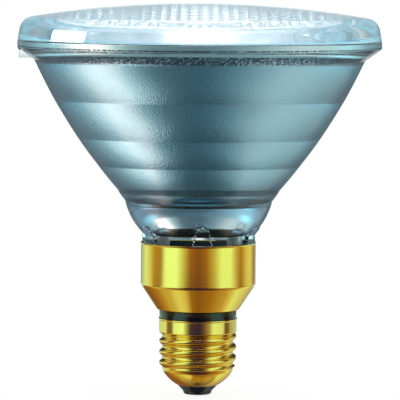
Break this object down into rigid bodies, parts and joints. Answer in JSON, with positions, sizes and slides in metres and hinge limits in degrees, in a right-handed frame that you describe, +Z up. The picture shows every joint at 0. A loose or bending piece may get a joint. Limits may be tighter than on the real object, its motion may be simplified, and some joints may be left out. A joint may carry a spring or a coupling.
{
  "type": "par spotlight bulb",
  "caption": "Sealed reflector lamp with a pressed-glass bowl and lens, a mirrored banded cone, a glass neck, and a skirted brass screw cap for a lamp holder.",
  "frame": {"origin": "centre of the flat foot of the centre contact's solder, the lowest point of the cap", "axes": "+Z up the lamp's axis from the cap to the lens, +X to the right of the picture, -Y towards the camera"},
  "size_m": [0.1222, 0.1222, 0.1322],
  "materials": {
    "solder": "satin tin solder",
    "contact_metal": "dull pressed brass",
    "black_insulator": "glossy black glass",
    "brass": "bright rolled brass",
    "cement": "matt basing cement",
    "mirrored_glass": "pressed glass, aluminised inside, satin outside",
    "stem_glass": "clear glass",
    "ferrule_metal": "satin nickel iron",
    "post_wire": "nickel wire",
    "tungsten": "drawn tungsten wire",
    "lead_wire": "bare copper wire",
    "lens_glass": "clear pressed glass"
  },
  "bodies": {
    "root": {"contact_solder": "solder", "centre_contact": "contact_metal", "base_insulator": "black_insulator", "screw_shell": "brass", "insulating_ring": "black_insulator", "cap_skirt": "brass", "basing_cement": "cement", "reflector": "mirrored_glass", "exhaust_tip": "stem_glass", "ferrule_left": "ferrule_metal", "ferrule_right": "ferrule_metal", "lead_post_left": "post_wire", "lead_post_right": "post_wire", "filament": "tungsten", "centre_lead": "lead_wire", "side_lead": "lead_wire", "side_solder": "solder", "lens": "lens_glass"}
  },
  "joints": []
}
